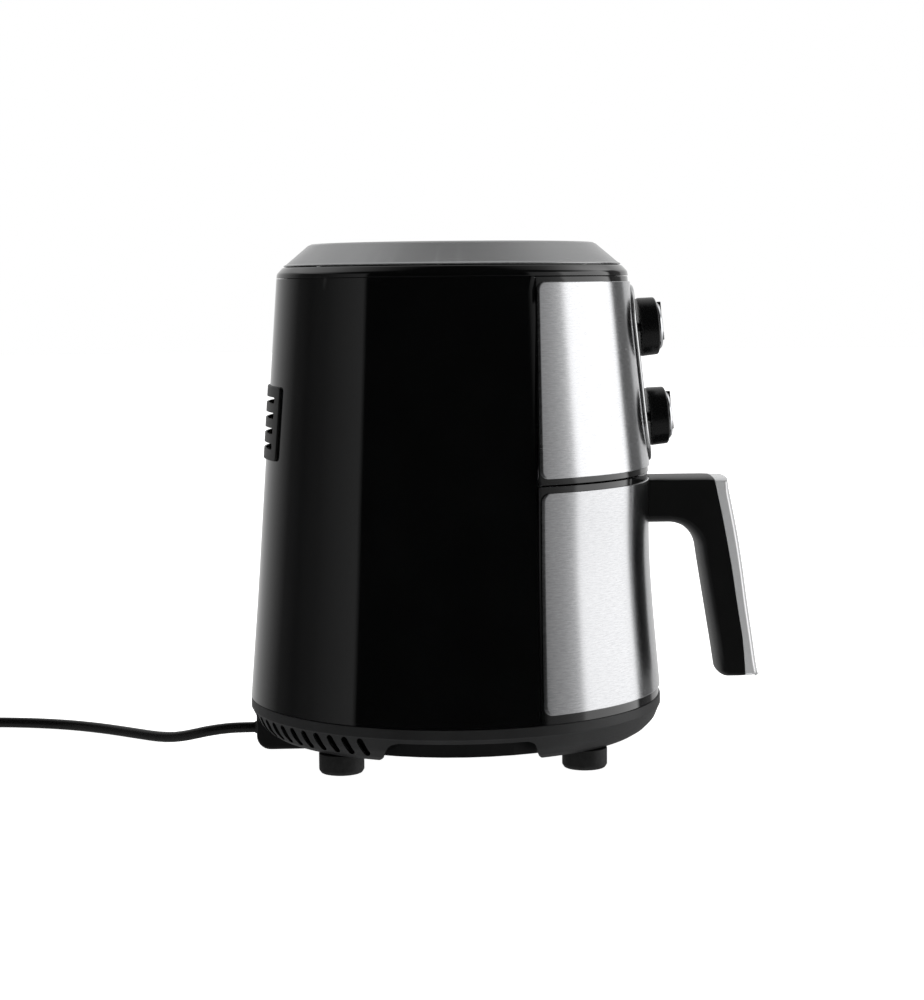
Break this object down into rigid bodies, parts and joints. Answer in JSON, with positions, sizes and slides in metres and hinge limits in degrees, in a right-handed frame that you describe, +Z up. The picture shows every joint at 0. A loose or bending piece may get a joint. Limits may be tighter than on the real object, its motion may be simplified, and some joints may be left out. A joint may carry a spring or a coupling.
{
  "type": "air fryer",
  "caption": "Round gloss black air fryer with brushed steel front, dials on a stadium plate, pull-out pan with an angled handle, rear vent and power cord.",
  "frame": {"origin": "on the standing surface, under the middle of the appliance with its handle and without its cord", "axes": "+Z up, -Y towards the front with the dials and the handle, +Y towards the rear vent and the cord, X across"},
  "size_m": [0.3132, 0.6773, 0.33],
  "materials": {
    "gloss_black": "high gloss",
    "satin_black": "satin",
    "base_grey": "satin",
    "silver_grey": "satin silver paint",
    "front_steel": "brushed round the body",
    "chrome": "polished",
    "zinc_steel": "zinc plated",
    "bare_aluminium": "mill finish",
    "nonstick": "dark non-stick coating",
    "element_steel": "heat darkened",
    "foot_rubber": "matte",
    "silicone": "soft matte",
    "white_plastic": "satin",
    "bell_brass": "satin",
    "cord_rubber": "semi-gloss"
  },
  "bodies": {
    "housing": {"shoulder_collar": "gloss_black", "top_ring": "silver_grey", "top_cover": "gloss_black", "outer_shell": "gloss_black", "rear_vent_grille": "satin_black", "control_fascia": "gloss_black", "control_steel_panel": "front_steel", "dial_plate": "silver_grey", "timer_unit": "white_plastic", "timer_bell": "bell_brass", "thermostat_unit": "white_plastic", "cavity_liner": "bare_aluminium", "pan_rail_left": "zinc_steel", "pan_rail_right": "zinc_steel", "heat_dome": "bare_aluminium", "heating_element": "element_steel", "element_guard": "zinc_steel", "motor_bracket": "zinc_steel", "motor": "zinc_steel", "thermal_fuse": "white_plastic", "air_duct": "satin_black", "safety_switch": "white_plastic", "base_skirt": "base_grey", "base_pan": "satin_black", "foot_front_left": "foot_rubber", "foot_front_right": "foot_rubber", "foot_rear_left": "foot_rubber", "foot_rear_right": "foot_rubber", "cord_block": "satin_black", "strain_relief": "cord_rubber", "terminal_block": "white_plastic", "power_cord": "cord_rubber", "cord_coil": "cord_rubber", "plug": "cord_rubber"},
    "drawer": {"drawer_front": "gloss_black", "drawer_steel_panel": "front_steel", "handle": "satin_black", "handle_trim": "silver_grey", "handle_screw_1": "zinc_steel", "handle_screw_2": "zinc_steel", "pan": "nonstick", "pan_bracket": "satin_black", "drawer_switch_tab": "satin_black"},
    "crisper": {"crisper_plate": "nonstick", "crisper_bumper_1": "silicone", "crisper_bumper_2": "silicone", "crisper_bumper_3": "silicone", "crisper_bumper_4": "silicone"},
    "timer_dial": {"timer_knob": "gloss_black", "timer_knob_cap": "chrome", "timer_knob_pointer": "satin_black", "timer_shaft": "zinc_steel"},
    "temperature_dial": {"temperature_knob": "gloss_black", "temperature_knob_cap": "chrome", "temperature_knob_pointer": "satin_black", "temperature_shaft": "zinc_steel"},
    "rotor": {"convection_fan": "bare_aluminium", "cooling_fan": "satin_black", "motor_shaft": "zinc_steel"},
    "plunger": {"switch_plunger": "satin_black"}
  },
  "joints": [
    {"name": "drawer_slide", "type": "slide", "parent": "housing", "child": "drawer", "axis": [0, -1, 0], "range_m": [0, 0.25]},
    {"name": "crisper_lift", "type": "slide", "parent": "drawer", "child": "crisper", "axis": [0, 0, 1], "range_m": [0, 0.08]},
    {"name": "timer_knob_turn", "type": "hinge", "parent": "housing", "child": "timer_dial", "pos_m": [0, -0.08458, 0.2743], "axis": [0, 0.9968, -0.0802], "range_deg": [0, 270]},
    {"name": "temperature_knob_turn", "type": "hinge", "parent": "housing", "child": "temperature_dial", "pos_m": [0, -0.09082, 0.2158], "axis": [0, 0.9968, -0.0802], "range_deg": [0, 270]},
    {"name": "fan_spin", "type": "hinge", "parent": "housing", "child": "rotor", "pos_m": [0, 0.0326, 0.2], "axis": [0, 0, 1], "continuous": true},
    {"name": "switch_press", "type": "slide", "parent": "housing", "child": "plunger", "axis": [0, -1, 0], "range_m": [0, 0.004]}
  ],
  "couplings": [
    {"joint": "switch_press", "follows": "drawer_slide", "ratio": 0.016}
  ]
}
